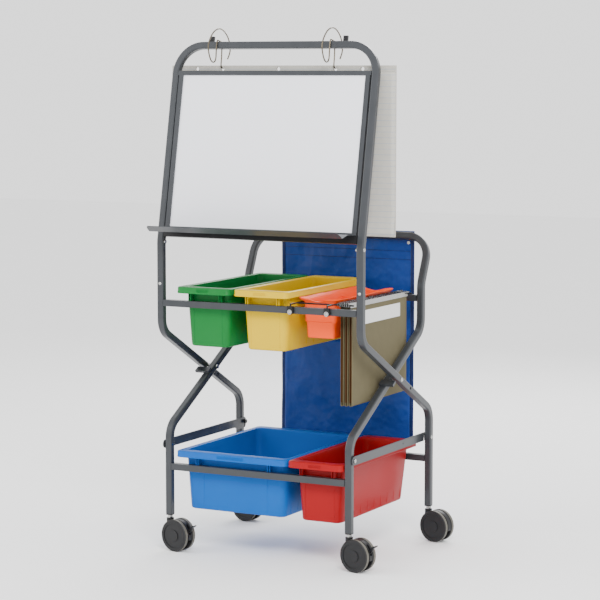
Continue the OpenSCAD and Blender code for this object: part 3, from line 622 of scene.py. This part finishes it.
def chart_strip(lo, hi, x0, x1, z0, z1, proud, columns, rows):
    """A piece of the cloth's surface, proud of it towards the front."""
    points = []
    for j in range(rows + 1):
        z = z1 + (z0 - z1) * j / rows
        for i in range(columns + 1):
            x = x0 + (x1 - x0) * i / columns
            points.append((x, chart_y(x, z, lo, hi) - proud, z))
    return points, grid(rows, columns)


def thicken(piece, thickness):
    solid = piece.modifiers.new("thickness", "SOLIDIFY")
    solid.thickness = thickness
    solid.offset = 0


def add_rear_chart():
    lo, hi = chart_surface()
    hem = 14 * MM
    bend = 3 * MM
    columns, rows = 60, 90
    points, faces = chart_strip(lo, hi, lo.x, hi.x, lo.z, hi.z - bend, 0, columns, rows)
    n = columns + 1
    over = []
    for y_back, z_down in ((hem, 0.9 * MM), (hem * 0.5, 0.7 * MM), (1.2 * MM, 0.9 * MM)):
        for i in range(n):
            x = lo.x + (hi.x - lo.x) * i / columns
            over.append((x, hi.y - CLOTH_INSET - y_back, hi.z - z_down))
    bands = len(over) // n
    faces = [tuple(k + len(over) for k in face) for face in faces]
    faces = grid(bands, columns) + faces
    cloth = add_piece("chart_cloth", over + points, faces, "easel", "blue_fabric", smooth=80)
    thicken(cloth, 0.9 * MM)
    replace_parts(cloth, "rear_chart")

    tape = 12 * MM
    edges = [chart_strip(lo, hi, x, x + tape, lo.z + 0.5 * MM, hi.z - 4 * MM, 0.9 * MM, 3, 90)
             for x in (lo.x + 0.3 * MM, hi.x - tape - 0.3 * MM)]
    edges.append(chart_strip(lo, hi, lo.x, hi.x, lo.z + 0.3 * MM, lo.z + tape, 1.2 * MM, 60, 2))
    binding = add_piece("chart_binding", *join(*edges), "easel", "blue_fabric", BINDING, smooth=80)
    thicken(binding, 0.7 * MM)

    seams = []
    for z in SEAM_HEIGHTS:
        seams.append(chart_strip(lo, hi, lo.x + tape, hi.x - tape, z, z + 1.4 * MM, 0.9 * MM, 60, 1))
    stitching = add_piece("chart_seams", *join(*seams), "easel", "blue_fabric", BINDING, smooth=80)
    thicken(stitching, 0.6 * MM)
    pouch = chart_strip(lo, hi, lo.x + tape, hi.x - tape, lo.z + 10 * MM, SEAM_HEIGHTS[-1],
                        1.9 * MM, 60, 40)
    pocket = add_piece("chart_pocket", *pouch, "easel", "blue_fabric", smooth=80)
    thicken(pocket, 0.7 * MM)


# ---------------------------------------------------------------- folders

# Ends and heights of the blank label on the outer folder
LABEL_Y = (-120 * MM + FRAME_Y, 135 * MM + FRAME_Y)
LABEL_Z = (729 * MM, 771 * MM)


def add_folder(node, body):
    """A folded card pocket that hangs from its two rods, with a brown lining."""
    lo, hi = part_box(node)
    lo, hi = Vector(lo), Vector(hi)
    cx = (lo.x + hi.x) / 2
    half = (hi.x - lo.x) / 2 - 0.6 * MM
    side = 14
    outline = [(-half, 0)]
    outline += [(-half - 0.25 * MM * math.sin(math.pi * k / side), -(hi.z - lo.z - half) * k / side)
                for k in range(1, side)]
    bottom = hi.z - lo.z - half - 0.8 * MM
    outline += [(-half * math.cos(a), -bottom - half * math.sin(a))
                for a in (math.pi * k / 8 for k in range(9))]
    outline += [(-x, z) for x, z in reversed(outline[:side])]
    rows = 30
    points = []
    for j in range(rows + 1):
        y = lo.y + (hi.y - lo.y) * j / rows
        for x, z in outline:
            sag = noise.noise(Vector((y * 9, z * 7, cx * 50))) * 0.35 * MM
            points.append((cx + x + sag, y, hi.z + z))
    faces = grid(rows, len(outline) - 1)
    card = add_piece(node + "_card", points, faces, body, "folder_paper", smooth=60)
    thicken(card, 0.7 * MM)
    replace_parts(card, node)
    y0, y1 = lo.y - 0.8 * MM, hi.y + 0.8 * MM
    z0, z1 = lo.z + 12 * MM, hi.z - 6 * MM
    walls = [block((x - 0.3 * MM, y0, z0), (x + 0.3 * MM, y1, z1))
             for x in (cx - half + 1.1 * MM, cx + half - 1.1 * MM)]
    add_piece(node + "_lining", *join(*walls), body, "folder_paper", FOLDER_LINING)


def add_label():
    lo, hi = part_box("folder_outer")
    x = hi[0] + 0.35 * MM
    card = block((x, LABEL_Y[0], LABEL_Z[0]), (x + 0.5 * MM, LABEL_Y[1], LABEL_Z[1]))
    label = add_piece("folder_label", *card, "folder_outer_body", "paper", LABEL)
    soften(label, 0.15 * MM)


# ---------------------------------------------------------------- the scene

add_camera()
add_studio()
dress_nodes()
add_tub("tub_green", "green_tub", "green_plastic")
add_tub("tub_yellow", "yellow_tub", "yellow_plastic")
add_tub("tub_blue", "blue_tub", "blue_plastic")
add_tub("tub_red", "red_tub", "red_plastic")
add_caddy()
add_pad_leaves()
add_rear_chart()
for folder in ("folder_inner", "folder_middle", "folder_outer"):
    add_folder(folder, folder + "_body")
add_label()
